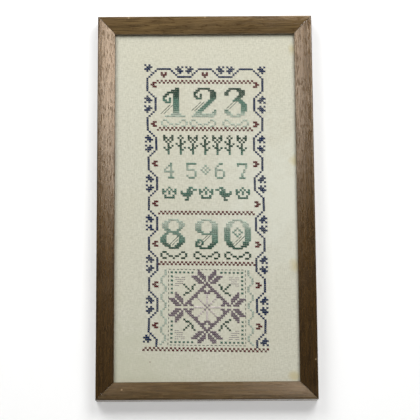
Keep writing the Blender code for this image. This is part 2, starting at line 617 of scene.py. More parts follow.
@dataclass(frozen=True)
class MeanderBorder:
    """The navy vine that winds round the sampler, its florets in the bays and the hearts inside it."""

    left: int = 1
    right: int = 57
    top: int = 0
    foot: int = 138
    step: int = 4
    run: int = 7
    slope: int = 3
    first_outer_run: int = 5
    first_top_run: int = 6
    last_top_run: int = 52
    UPPER_FLORET = (".X..", "XXX.", ".XXX", "X.X.")
    LOWER_FLORET = ("X.X.", ".XXX", "XXX.", ".X..")
    LEFT_FLORET = (".X.X", "XXX.", ".XXX", "..X.")
    FOOT_FLORET = ("..X.", ".XXX", "XXX.", ".X.X")
    WORN_FLORET = ("X.X.", ".XX.", "X.XX", "....")
    # The bay whose lower left floret is worn, counted from the top
    WORN_BAY = 3
    # Columns of the bays along the top, each with a pair of florets and of whiskers
    TOP_BAYS = (19, 39)
    WHISKERS = (((-2.7, 1.8), (-3.7, 2.8)), ((3.4, 1.7), (4.3, 2.7)))
    # Left column, top row and chart of each corner's floret
    CORNERS = (
        (0, -2, LOWER_FLORET), (55, -1, LEFT_FLORET), (-1, 133, UPPER_FLORET), (55, 134, FOOT_FLORET),
    )
    CORNER_WHISKERS = (((1.5, 0.0), (4.0, 2.5)), ((56.0, 1.0), (54.5, 2.5)), ((1.0, 133.5), (2.0, 132.5)))
    HEART = (".XX", "XX.", ".XX")
    TOP_HEART = ("X.X", "XXX", ".X.")
    TOP_HEARTS = (8, 28)

    @property
    def period(self) -> int:
        """Stitches from one run of the vine to the next like it."""
        return 2 * (self.run + self.slope)

    def sway(self, along: int) -> int:
        """How far the vine stands in from its outer line, at a distance from the start of an outer run."""
        phase = along % self.period
        if phase < self.run:
            return 0
        if phase < self.run + self.slope:
            return phase - self.run + 1
        if phase < 2 * self.run + self.slope:
            return self.step
        return self.period - phase

    def work(self, chart: Chart) -> None:
        """Work the vine, its florets and the hearts on a chart."""
        self.vine(chart)
        self.florets(chart)
        self.hearts(chart)

    def vine(self, chart: Chart) -> None:
        """Work the vine down both sides and along the top.

        Args:
            chart: The chart to work it on.
        """
        for row in range(self.first_outer_run, self.foot + 1):
            sway = self.sway(row - self.first_outer_run)
            chart.cross(Floss.NAVY, self.left + sway, row)
            chart.cross(Floss.NAVY, self.right - sway, row)
        for column in range(self.first_top_run, self.last_top_run + 1):
            chart.cross(Floss.NAVY, column, self.top + self.sway(column - self.first_top_run))
        for step in range(1, self.step + 1):
            row = self.first_outer_run - step
            chart.cross(Floss.NAVY, self.left + step, row)
            chart.cross(Floss.NAVY, self.right - step, row)

    def florets(self, chart: Chart) -> None:
        """Work a pair of florets in each outer bay, one at each corner, and their whiskers.

        Args:
            chart: The chart to work them on.
        """
        middle = self.first_outer_run + self.run + self.slope + self.run // 2
        for bay, row in enumerate(range(middle, self.foot - self.run, self.period)):
            lower = self.WORN_FLORET if bay == self.WORN_BAY else self.LOWER_FLORET
            chart.motif(Floss.NAVY, self.left - 1, row - 4, self.UPPER_FLORET)
            chart.motif(Floss.NAVY, self.left - 1, row + 1, lower)
            chart.motif(Floss.NAVY, self.right - 2, row - 4, self.UPPER_FLORET, mirrored=True)
            chart.motif(Floss.NAVY, self.right - 2, row + 1, self.LOWER_FLORET, mirrored=True)
        for column in self.TOP_BAYS:
            chart.motif(Floss.NAVY, column - 4, self.top - 1, self.LEFT_FLORET)
            chart.motif(Floss.NAVY, column + 1, self.top - 1, self.LOWER_FLORET)
            for start, end in self.WHISKERS:
                chart.line(Floss.NAVY, (column + start[0], start[1]), (column + end[0], end[1]))
        for column, row, floret in self.CORNERS:
            chart.motif(Floss.NAVY, column, row, floret)
        for start, end in self.CORNER_WHISKERS:
            chart.line(Floss.NAVY, start, end)

    def hearts(self, chart: Chart) -> None:
        """Work a heart inside each outer run of the vine.

        Args:
            chart: The chart to work them on.
        """
        middle = self.first_outer_run + self.run // 2
        for row in range(middle, self.foot, self.period):
            chart.motif(Floss.BURGUNDY, self.left + 2, row - 1, self.HEART)
            chart.motif(Floss.BURGUNDY, self.right - 4, row - 1, self.HEART, mirrored=True)
        for column in self.TOP_HEARTS:
            chart.motif(Floss.BURGUNDY, column, self.top + 2, self.TOP_HEART)


@dataclass(frozen=True)
class DividingRows:
    """The burgundy zigzags, two rows deep, that part the sampler's bands."""

    first: int = 6
    last: int = 52
    # Upper row of each zigzag, and whether its even columns are the upper ones
    bands: tuple[tuple[int, bool], ...] = ((6, True), (30, False), (72, False), (97, False))
    foot: int = 139
    foot_first: int = -1
    foot_last: int = 58

    def work(self, chart: Chart) -> None:
        """Work the zigzags.

        Args:
            chart: The chart to work them on.
        """
        for row, even_up in self.bands:
            self.zigzag(chart, row, even_up, self.first, self.last)
        self.zigzag(chart, self.foot, True, self.foot_first, self.foot_last)

    def zigzag(self, chart: Chart, row: int, even_up: bool, first: int, last: int) -> None:
        """Work one zigzag.

        Args:
            chart: The chart to work it on.
            row: Its upper row.
            even_up: Whether its even columns are in the upper row.
            first: Its first column.
            last: Its last column.
        """
        for column in range(first, last + 1):
            upper = (column % 2 == 0) == even_up
            chart.cross(Floss.BURGUNDY, column, row if upper else row + 1)


@dataclass(frozen=True)
class CountingBands:
    """Two bands of large numerals and, between them, small numerals and sprigs, in variegated green."""

    large_top: int = 10
    large_foot: int = 76
    ONE = (
        ".......XX....",
        ".....XXXX....",
        "...XXXXXX....",
        "..XX..XXX....",
        ".XX...XXX....",
        ".X..X.XXX....",
        ".XX.X.XXX....",
        "..XXX.XXX....",
        "......XXX....",
        "......XXX....",
        "......XXX....",
        "......XXX....",
        "......XXX....",
        ".....XXXXX...",
        "..XXXXXXXXXX.",
    )
    TWO = (
        "....XXXXXX....",
        "...XX....XXX..",
        "..XX......XXX.",
        "..X..X....XXX.",
        "..XX.X....XXX.",
        "...XXX....XXX.",
        ".........XXX..",
        "........XXX...",
        ".......XXX....",
        "......XXX.....",
        ".....XXX......",
        "....XXX.....X.",
        "...XXX.....XX.",
        "..XXXXXXXXXXX.",
        ".XXXXXXXXXXX..",
    )
    THREE = (
        "...XXXXXX....",
        "..XX...XXXX..",
        ".XX.....XXX..",
        ".XX.....XXX..",
        ".......XXX...",
        "......XXX....",
        ".....XXXXX...",
        "........XXX..",
        ".........XXX.",
        ".........XXX.",
        ".........XXX.",
        ".XX......XXX.",
        ".XXX.....XX..",
        "..XXX..XXXX..",
        "....XXXXX....",
    )
    EIGHT = (
        "....XXXXX....",
        "..XXX...XXX..",
        ".XXX.....XXX.",
        ".XXX.....XXX.",
        ".XXX.....XX..",
        "..XXX...XX...",
        "...XXXXXX....",
        "..XX..XXXX...",
        ".XX.....XXX..",
        "XXX......XXX.",
        "XXX......XXX.",
        "XXX......XXX.",
        ".XXX....XXX..",
        "..XXX..XXX...",
        "....XXXXX....",
    )
    NINE = (
        "....XXXXX....",
        "..XXX...XXX..",
        ".XXX.....XXX.",
        ".XXX.....XXX.",
        ".XXX.....XXX.",
        ".XXX.....XXX.",
        "..XXX...XXXX.",
        "....XXXXXXXX.",
        ".........XXX.",
        ".........XXX.",
        "..XX.....XXX.",
        ".XX.X....XXX.",
        ".X..X...XXX..",
        ".XXX...XXX...",
        "...XXXXXX....",
    )
    NOUGHT = (
        "....XXXXX....",
        "..XXX...XXX..",
        ".XXX.....XXX.",
        ".XXX.....XXX.",
        "XXX...X...XXX",
        "XXX..X.X..XXX",
        "XXX.X...X.XXX",
        "XXX..X.X..XXX",
        "XXX...X...XXX",
        "XXX.......XXX",
        "XXX.......XXX",
        ".XXX.....XXX.",
        ".XXX.....XXX.",
        "..XXX...XXX..",
        "....XXXXX....",
    )
    SCROLL = (
        ".XX.......XX.",
        "X..X.....X..X",
        "X...XX.XX...X",
        ".XX...X...XX.",
    )
    FOUR = ("...X.", "..XX.", ".X.X.", "X..X.", "XXXXX", "...X.", "...X.", "..XXX")
    FIVE = ("XXXXX", "X....", "X....", "XXXX.", "....X", "....X", "X...X", ".XXX.")
    SIX = ("..XX.", ".X...", "X....", "XXXX.", "X...X", "X...X", "X...X", ".XXX.")
    SEVEN = ("XXXXX", "X...X", "....X", "...X.", "...X.", "..X..", "..X..", ".XXX.")
    DIAMOND = ("..X..", ".X.X.", "X.X.X", ".X.X.", "..X..")
    TULIP = (
        "X...X",
        "XX.XX",
        "X.X.X",
        ".X.X.",
        "..X..",
        "..X.X",
        "X.XX.",
        ".XX..",
        "..X..",
        "..X..",
    )
    SPRIG = (
        "..X..",
        ".X.X.",
        "..X..",
        "..X.X",
        "X.XX.",
        ".XX..",
        "..X.X",
        "..XX.",
        "..X..",
        "..X..",
    )
    CROWN = (
        "...X...",
        "X.X.X.X",
        "XX.X.XX",
        "X..X..X",
        ".X...X.",
        ".XXXXX.",
    )
    BIRD = (
        "....XX...",
        "...XX.XX.",
        "X..XXX...",
        "XXXXXX...",
        ".XXXX....",
        "...X.....",
        "..XX.....",
    )

    # Left column and chart of each large numeral, and where its hatching starts from its corner
    UPPER = ((8, ONE, (-0.6, 12.9)), (22, TWO, (0.4, 11.4)), (38, THREE, (1.4, 10.2)))
    LOWER = ((7, EIGHT, (3.6, 12.8)), (23, NINE, (1.6, 12.4)), (38, NOUGHT, (3.2, 12.6)))
    # Left column, top row and chart of each small motif between them
    SMALL = ((9, 48, FOUR), (20, 48, FIVE), (34, 48, SIX), (45, 48, SEVEN), (27, 49, DIAMOND))
    PAIRED = ((8, 60, CROWN), (17, 60, BIRD), (26, 60, CROWN))
    flowers: int = 7
    first_flower: int = 9
    flower_pitch: int = 6
    flower_row: int = 34
    # The two columns that lie opposite each other add up to this
    mirror_sum: int = 58
    hatches: Place = (0.0, 1.5)
    hatch_reach: float = 4.8
    hatch_shade: float = 0.1

    def work(self, chart: Chart) -> None:
        """Work the bands of numerals, large ones first.

        Args:
            chart: The chart to work them on.
        """
        for row, numerals in ((self.large_top, self.UPPER), (self.large_foot, self.LOWER)):
            for column, numeral, hatch in numerals:
                self.large(chart, column, row, numeral, hatch)
        for number in range(self.flowers):
            small = self.SPRIG if number % 2 else self.TULIP
            column = self.first_flower + self.flower_pitch * number
            mirrored = number > self.flowers // 2
            chart.motif(Floss.GREEN, column, self.flower_row, small, mirrored=mirrored)
        for column, row, small in self.SMALL:
            chart.motif(Floss.GREEN, column, row, small)
        for column, row, small in self.PAIRED:
            chart.motif(Floss.GREEN, column, row, small)
            opposite = self.mirror_sum - column - len(small[0]) + 1
            chart.motif(Floss.GREEN, opposite, row, small, mirrored=True)

    def large(self, chart: Chart, column: int, row: int, numeral: tuple[str, ...], hatch: Place) -> None:
        """Work a large numeral, a double line of back stitch across it and a scroll below it.

        Args:
            chart: The chart to work it on.
            column: The numeral's left column.
            row: Its top row.
            numeral: Its chart.
            hatch: Where the double line starts, in columns and rows from its corner.
        """
        chart.motif(Floss.GREEN, column, row, numeral)
        chart.motif(Floss.GREEN, column, row + len(numeral) + 1, self.SCROLL)
        for shift in self.hatches:
            foot = (column + hatch[0] + shift, row + hatch[1])
            tip = (foot[0] + self.hatch_reach, foot[1] - self.hatch_reach)
            chart.line(Floss.GREEN, foot, tip, self.hatch_shade)


@dataclass(frozen=True)
class StarPanel:
    """The mauve star in its running-stitch frame, with a sprig and a pale floret, drawn as rows of painted
    shadow, in each corner.
    """

    column: int = 29
    row: int = 119
    ring: int = 12
    frame_reach: Place = (18.55, 18.45)
    # The right half of one flower, its left column on the star's own middle line
    PETALS = (
        "....X...",
        "...XX...",
        "..XXX...",
        ".XXX.XXX",
        ".XX.XXX.",
        ".X.XXX..",
        "..XXX...",
    )
    # Stitches that thicken the ring inside each point, on one side of its line
    KNOT = ((1, -8), (2, -8), (1, -7))
    BUD = ("XX.XX", "XXXXX", ".XXX.", "XXXX.", "XX...")
    SPRIG = (
        (-8, -8), (-9, -9), (-10, -10), (-11, -11), (-7, -9),
        (-7, -10), (-6, -11), (-9, -7), (-10, -7), (-11, -6),
    )
    # The side vine's steps from its inner line, row by row
    SWAYS = (0, 0, 0, 1, 2, 2, 2, 1)
    vine_reach: int = 20
    vine_half: int = 18
    bud_reach: int = 15
    lobe: int = 5
    side_knot: int = 7
    # Shades along the skeins of mauve and of green, from 0, dark, to 1, pale
    spoke_shade: float = 1.0
    ray_shade: float = 0.85
    heart_shade: float = 0.25
    sprig_shade: float = 0.05
    vine_shade: float = 0.93
    dash_shade: float = 0.0
    single_shade: float = 0.3
    # The florets are drawn as rows of thin straight stitches in a darker mauve along the feet of their
    # squares: painted shadow between rows, standing in for the pale crosses and the shade below them
    shadow_row_drop: float = 0.42
    shadow_row_shade: float = 0.2
    first_single: int = 17
    singles: int = 6

    def work(self, chart: Chart) -> None:
        """Work the panel.

        Args:
            chart: The chart to work it on.
        """
        for turn in range(4):
            self.flower(chart, turn)
        self.diamond(chart)
        self.spokes(chart)
        for side in (-1, 1):
            for level in (-1, 1):
                self.corner(chart, side, level)
            self.side_vine(chart, side)
        self.surround(chart)

    def turned(self, across: float, down: float, turn: int) -> Place:
        """Column and row of a place about the star's middle, after quarter turns."""
        for _ in range(turn):
            across, down = -down, across
        return self.column + across, self.row + down

    def flower(self, chart: Chart, turn: int) -> None:
        """Work the leaves of one flower and the knot in the ring below it, on both sides of its line.

        Args:
            chart: The chart to work it on.
            turn: How many quarter turns from the top it lies.
        """
        top = 1 - self.ring - len(self.PETALS)
        leaves = [
            (across, top + down)
            for down, line in enumerate(self.PETALS)
            for across, mark in enumerate(line)
            if mark == "X" and not (turn == 2 and down == 0)
        ]
        for across, down in (*leaves, *self.KNOT):
            for side in (-1, 1):
                chart.cross(Floss.MAUVE, *self.turned(side * across, down, turn))

    def diamond(self, chart: Chart) -> None:
        """Work the ring, two stitches thick, with its side points left open.

        Args:
            chart: The chart to work it on.
        """
        for across in range(-self.ring, self.ring + 1):
            for down in range(-self.ring, self.ring + 1):
                on_ring = abs(across) + abs(down) in (self.ring - 1, self.ring)
                lobe = abs(across) == abs(down) == self.lobe
                if (on_ring or lobe) and down != 0:
                    chart.cross(Floss.MAUVE, self.column + across, self.row + down)
        for side in (-1, 1):
            chart.cross(Floss.MAUVE, self.column, self.row + self.side_knot * side)

    def spokes(self, chart: Chart) -> None:
        """Work the pale spokes and the small cross in the star's middle.

        Args:
            chart: The chart to work them on.
        """
        for turn in range(4):
            for reach in range(2, 7):
                chart.cross(Floss.MAUVE, *self.turned(0, -reach, turn), self.spoke_shade)
            for reach in range(2, 5):
                chart.cross(Floss.MAUVE, *self.turned(reach, -reach, turn), self.ray_shade)
            chart.cross(Floss.MAUVE, *self.turned(1, -1, turn), self.heart_shade)
        chart.cross(Floss.MAUVE, self.column, self.row, self.heart_shade)

    def corner(self, chart: Chart, side: int, level: int) -> None:
        """Work one corner: a forked sprig and a pale floret drawn as rows of painted shadow.

        Args:
            chart: The chart to work it on.
            side: 1 for a left corner, -1 for a right one.
            level: 1 for an upper corner, -1 for a lower one.
        """
        for across, down in self.SPRIG:
            place = self.column + side * across, self.row + level * down
            chart.cross(Floss.GREEN, *place, self.sprig_shade)
        # The floret: darker lines along the feet of its squares, painted shadow between its rows
        for down, line in enumerate(self.BUD):
            for across, mark in enumerate(line):
                if mark == "X":
                    column = self.column + side * (across - self.bud_reach)
                    row = self.row + level * (down - self.bud_reach) + self.shadow_row_drop
                    chart.line(Floss.MAUVE, (column - 0.5, row), (column + 0.5, row), self.shadow_row_shade)

    def side_vine(self, chart: Chart, side: int) -> None:
        """Work the pale vine beside the panel, which sways two stitches every four rows.

        Args:
            chart: The chart to work it on.
            side: -1 for the left vine, 1 for the right one.
        """
        for down in range(-self.vine_half, self.vine_half + 1):
            reach = self.vine_reach + self.SWAYS[(down + self.vine_half) % len(self.SWAYS)]
            chart.cross(Floss.GREEN, self.column + side * reach, self.row + down, self.vine_shade)

    def surround(self, chart: Chart) -> None:
        """Work the running-stitch frame and the rows of single crosses inside it.

        Args:
            chart: The chart to work them on.
        """
        across, down = self.frame_reach
        left, right = self.column - across, self.column + across
        top, foot = self.row - down, self.row + down
        for start, end in (
            ((left, top), (right, top)), ((right, top), (right, foot)),
            ((right, foot), (left, foot)), ((left, foot), (left, top)),
        ):
            chart.dashes(Floss.GREEN, start, end, self.dash_shade)
        for turn in range(4):
            for step in range(self.singles):
                near = 2 * step - self.first_single
                for place in ((near, -self.first_single), (-self.first_single, near)):
                    chart.cross(Floss.GREEN, *self.turned(*place, turn), self.single_shade)


@dataclass(frozen=True)
class CountedGround:
    """Where the chart lies on the linen, in millimetres from the frame's middle.

    The linen was stretched a little out of square, so the sides bow and the rows slope.
    """

    columns: tuple[int, int] = (1, 57)
    rows: tuple[int, int] = (0, 139)
    # Row, and how far across the first and the last column lie there
    sides: tuple[tuple[float, ...], ...] = (
        (0, -51.3, 51.0),
        (20, -51.3, 50.75),
        (35, -50.75, 50.1),
        (50, -49.95, 50.0),
        (65, -49.75, 50.6),
        (75, -49.85, 50.95),
        (105, -49.6, 50.85),
        (125, -49.65, 50.95),
        (132, -50.05, 50.6),
        (139, -50.7, 50.9),
    )
    # How far up the top and the foot row lie at the first and the last column
    top: Place = (123.9, 122.9)
    foot: Place = (-125.4, -127.3)
    # How far the rows between them hang
    droop: float = 0.3

    def place(self, column: float, row: float) -> tuple[float, float]:
        """Turn a column and row of the chart into metres from the frame's middle.

        Args:
            column: The column.
            row: The row.

        Returns:
            How far across and how far up the place lies.
        """
        across = (column - self.columns[0]) / (self.columns[1] - self.columns[0])
        down = (row - self.rows[0]) / (self.rows[1] - self.rows[0])
        left, right = by_row(self.sides, row)
        up = blend(blend(*self.top, across), blend(*self.foot, across), down)
        up -= self.droop * 4 * down * (1 - down)
        return blend(left, right, across) * MM, up * MM


class StitchKind(Enum):
    """The two ways in which the floss is worked."""

    CROSS = "crosses"
    LINE = "lines"


class GeometryTree:
    """A Geometry Nodes tree under construction, with its named inputs."""

    def __init__(self, name: str, **inputs: str) -> None:
        """Start the tree.

        Args:
            name: The tree's name.
            inputs: The kind of each input by its name, with underscores for spaces.
        """
        self.tree = bpy.data.node_groups.new(name, "GeometryNodeTree")
        sides = self.tree.interface
        for way in ("OUTPUT", "INPUT"):
            sides.new_socket("Geometry", in_out=way, socket_type="NodeSocketGeometry")
        for title, kind in inputs.items():
            sides.new_socket(title.replace("_", " "), in_out="INPUT", socket_type=f"NodeSocket{kind}")
        self.given = {socket.name: socket for socket in self.node("NodeGroupInput").outputs}

    def node(self, kind: str, sockets: Sockets | None = None, **settings: object) -> bpy.types.Node:
        """Add a node to the tree."""
        return add_node(self.tree, kind, sockets, **settings)

    def end(self, geometry: bpy.types.Node, smooth: bool = False) -> None:
        """End the tree in real, dressed geometry.

        Args:
            geometry: What it has made.
            smooth: Whether its faces are shaded smooth.
        """
        real = self.node("GeometryNodeRealizeInstances", {"Geometry": geometry})
        if smooth:
            real = self.node("GeometryNodeSetShadeSmooth", {"Geometry": real})
        inputs = {"Geometry": real, "Material": self.given["Finish"]}
        self.node("NodeGroupOutput", {0: self.node("GeometryNodeSetMaterial", inputs)})

    def work(self, piece: bpy.types.Object, values: dict[str, object]) -> None:
        """Run the tree on a piece and keep its result as the piece's plain mesh.

        Args:
            piece: The piece, whose mesh feeds the tree.
            values: The tree's inputs by name.
        """
        modifier = piece.modifiers.new(self.tree.name, "NODES")
        modifier.node_group = self.tree
        for item in self.tree.interface.items_tree:
            if item.in_out == "INPUT" and item.name in values:
                modifier[item.identifier] = values[item.name]
        bpy.context.view_layer.update()
        depsgraph = bpy.context.evaluated_depsgraph_get()
        mesh = bpy.data.meshes.new_from_object(piece.evaluated_get(depsgraph))
        piece.modifiers.clear()
        mesh.name = piece.name
        piece.data = mesh


def new_piece(name: str, mesh: bpy.types.Mesh) -> bpy.types.Object:
    """Link a mesh to the scene as one named object."""
    piece = bpy.data.objects.new(name, mesh)
    bpy.context.scene.collection.objects.link(piece)
    return piece


@dataclass(frozen=True)
class StitchGauge:
    """Sizes of the worked floss: two strands for a cross stitch and one for a line."""

    cross_span: float = 2.45 * MM
    cross_width: float = 1.0 * MM
    cross_slope: float = math.radians(40)
    under_share: float = 0.98
    cross_thickness: float = 0.34 * MM
    line_width: float = 0.6 * MM
    line_thickness: float = 0.28 * MM
    under_rise: float = 0.10 * MM
    over_rise: float = 0.34 * MM
    line_rise: float = 0.08 * MM
    lean: float = math.radians(4)
    size_spread: float = 0.06
    sides: int = 6
    steps: int = 4
    end_pinch: float = 0.4
    seed: int = 28


class Needlework:
    """Works the chart on the linen, in real stitches made by Geometry Nodes."""

    def __init__(self, chart: Chart, ground: CountedGround, gauge: StitchGauge) -> None:
        """Keep the design and build the trees.

        Args:
            chart: The counted design.
            ground: Where it lies on the linen.
            gauge: The sizes of the stitches.
        """
        self.chart = chart
        self.ground = ground
        self.gauge = gauge
        self.leg = self.leg_tree().tree
        self.trees = {StitchKind.CROSS: self.cross_tree(), StitchKind.LINE: self.line_tree()}

    def leg_tree(self) -> GeometryTree:
        """One leg of a stitch: a flat strand along X, pinched at its ends, that rises at its middle."""
        leg = GeometryTree("stitch_leg", Span="Float", Width="Float", Thickness="Float", Rise="Float")
        gauge, given = self.gauge, leg.given
        round_strand = {"Vertices": gauge.sides, "Side Segments": gauge.steps, "Radius": 0.5, "Depth": 1.0}
        strand = leg.node("GeometryNodeMeshCylinder", round_strand)
        along_x = {"Geometry": strand, "Rotation": (0.0, math.radians(90), 0.0)}
        laid = leg.node("GeometryNodeTransform", along_x)
        spot = leg.node("GeometryNodeInputPosition")
        along = leg.node("ShaderNodeSeparateXYZ", {0: spot})
        outward = leg.node("ShaderNodeMath", {0: along, 1: along}, operation="MULTIPLY")
        # The square of the distance from the middle is a quarter at the ends
        narrowing = {0: outward, 1: -4 * gauge.end_pinch, 2: 1.0}
        pinch = leg.node("ShaderNodeMath", narrowing, operation="MULTIPLY_ADD")
        level = leg.node("ShaderNodeMath", {0: outward, 1: -4.0, 2: 1.0}, operation="MULTIPLY_ADD")
        lift = leg.node("ShaderNodeMath", {0: level, 1: given["Rise"]}, operation="MULTIPLY")
        drop = leg.node("ShaderNodeMath", {0: lift, 1: -1.0}, operation="MULTIPLY")
        section = leg.node("ShaderNodeCombineXYZ", {0: 1.0, 1: pinch, 2: pinch})
        sizes = {0: given["Span"], 1: given["Thickness"], 2: given["Width"]}
        size = leg.node("ShaderNodeCombineXYZ", sizes)
        pinched = leg.node("ShaderNodeVectorMath", {0: spot, 1: section}, operation="MULTIPLY")
        offset = leg.node("ShaderNodeCombineXYZ", {1: drop})
        places = {0: pinched, 1: size, 2: offset}
        placed = leg.node("ShaderNodeVectorMath", places, operation="MULTIPLY_ADD")
        shaped = leg.node("GeometryNodeSetPosition", {"Geometry": laid, "Position": placed})
        leg.node("NodeGroupOutput", {0: shaped})
        return leg

    def cross_tree(self) -> GeometryTree:
        """A cross stitch on every point: one leg under and one over, each a little out of true."""
        cross = GeometryTree(
            "cross_stitches",
            **{"Span": "Float", "Width": "Float", "Thickness": "Float"},
            **{"Under_Share": "Float", "Under_Rise": "Float", "Over_Rise": "Float"},
            **{"Lean": "Float", "Seed": "Int", "Finish": "Material"},
        )
        gauge, given = self.gauge, cross.given
        joined = cross.node("GeometryNodeJoinGeometry")
        for rise, share, slope in (
            ("Under Rise", given["Under Share"], -gauge.cross_slope),
            ("Over Rise", 1.0, gauge.cross_slope),
        ):
            sizes = {"Thickness": given["Thickness"], "Rise": given[rise]}
            for name in ("Span", "Width"):
                size = {0: given[name], 1: share}
                sizes[name] = cross.node("ShaderNodeMath", size, operation="MULTIPLY")
            leg = cross.node("GeometryNodeGroup", sizes, node_tree=self.leg)
            turned = cross.node("GeometryNodeTransform", {"Geometry": leg, "Rotation": (0.0, slope, 0.0)})
            cross.tree.links.new(turned.outputs[0], joined.inputs[0])
        back = cross.node("ShaderNodeMath", {0: given["Lean"], 1: -1.0}, operation="MULTIPLY")
        lean = cross.node("FunctionNodeRandomValue", {2: back, 3: given["Lean"], 8: given["Seed"]})
        turn = cross.node("ShaderNodeCombineXYZ", {1: lean})
        sizes = {2: 1 - gauge.size_spread, 3: 1 + gauge.size_spread, 8: given["Seed"]}
        size = cross.node("FunctionNodeRandomValue", sizes)
        return self.instanced(cross, joined, turn, size)

    def line_tree(self) -> GeometryTree:
        """A straight stitch on every point, as long and as slanted as the point says."""
        line = GeometryTree(
            "back_stitches", Width="Float", Thickness="Float", Rise="Float", Seed="Int", Finish="Material"
        )
        sizes = {"Span": 1.0} | {name: line.given[name] for name in ("Width", "Thickness", "Rise")}
        leg = line.node("GeometryNodeGroup", sizes, node_tree=self.leg)
        slant, run = (
            line.node("GeometryNodeInputNamedAttribute", {"Name": name}, data_type="FLOAT")
            for name in (SLANT, RUN)
        )
        turn = line.node("ShaderNodeCombineXYZ", {1: slant})
        size = line.node("ShaderNodeCombineXYZ", {0: run, 1: 1.0, 2: 1.0})
        return self.instanced(line, leg, turn, size)

    def instanced(
        self, tree: GeometryTree, stitch: bpy.types.Node, turn: bpy.types.Node, size: bpy.types.Node
    ) -> GeometryTree:
        """End a tree: set the stitch on every point, give each its own tone, and realize them.

        Args:
            tree: The tree.
            stitch: The geometry of one stitch.
            turn: The rotation of each stitch.
            size: The scale of each stitch.

        Returns:
            The tree.
        """
        places = {"Points": tree.given["Geometry"], "Instance": stitch, "Rotation": turn, "Scale": size}
        placed = tree.node("GeometryNodeInstanceOnPoints", places)
        tone = tree.node("FunctionNodeRandomValue", {8: tree.given["Seed"]})
        toned = tree.node(
            "GeometryNodeStoreNamedAttribute",
            {"Geometry": placed, "Name": TONE, "Value": tone},
            data_type="FLOAT",
            domain="INSTANCE",
        )
        tree.end(toned, smooth=True)
        return tree

    def values(self, kind: StitchKind, material: bpy.types.Material) -> dict[str, object]:
        """The inputs of the tree for one kind of stitch.

        Args:
            kind: The kind of stitch.
            material: The floss.

        Returns:
            The inputs by name.
        """
        gauge = self.gauge
        shared = {"Seed": gauge.seed, "Finish": material}
        if kind is StitchKind.CROSS:
            return shared | {
                "Span": gauge.cross_span,
                "Width": gauge.cross_width,
                "Thickness": gauge.cross_thickness,
                "Under Share": gauge.under_share,
                "Under Rise": gauge.under_rise,
                "Over Rise": gauge.over_rise,
                "Lean": gauge.lean,
            }
        return shared | {
            "Width": gauge.line_width,
            "Thickness": gauge.line_thickness,
            "Rise": gauge.line_rise,
        }

    def stitches(self, kind: StitchKind, floss: Floss) -> list[tuple[Place, Place, float]]:
        """The two ends of every stitch of a kind, with its shade.

        Args:
            kind: The kind of stitch.
            floss: The skein.

        Returns:
            The ends as column and row, and the shade.
        """
        if kind is StitchKind.LINE:
            return self.chart.lines[floss]
        return [
            ((column - 0.5, row), (column + 0.5, row), shade)
            for (column, row), shade in self.chart.crosses[floss].items()
        ]

    def work(
        self, kind: StitchKind, floss: Floss, material: bpy.types.Material, linen: "StretchedLinen"
    ) -> bpy.types.Object | None:
        """Work every stitch of one kind in one skein.

        Args:
            kind: The kind of stitch.
            floss: The skein.
            material: The floss.
            linen: The cloth that the stitches lie on.

        Returns:
            The piece, or nothing where the chart has no such stitch.
        """
        stitches = self.stitches(kind, floss)
        if not stitches:
            return None
        mesh = bpy.data.meshes.new(f"{kind.value}_{floss.value}")
        spots, runs, slants, shades = [], [], [], []
        for start, end, shade in stitches:
            first, last = Vector(self.ground.place(*start)), Vector(self.ground.place(*end))
            middle, reach = (first + last) / 2, last - first
            spots.append(linen.spot(middle.x, middle.y))
            runs.append(reach.length)
            slants.append(-math.atan2(reach.y, reach.x))
            shades.append(shade)
        mesh.from_pydata(spots, [], [])
        for name, numbers in ((SHADE, shades), (RUN, runs), (SLANT, slants)):
            mesh.attributes.new(name, "FLOAT", "POINT").data.foreach_set("value", numbers)
        piece = new_piece(mesh.name, mesh)
        self.trees[kind].work(piece, self.values(kind, material))
        LOG.info("%s: %d stitches, %d faces", piece.name, len(spots), len(piece.data.polygons))
        return piece


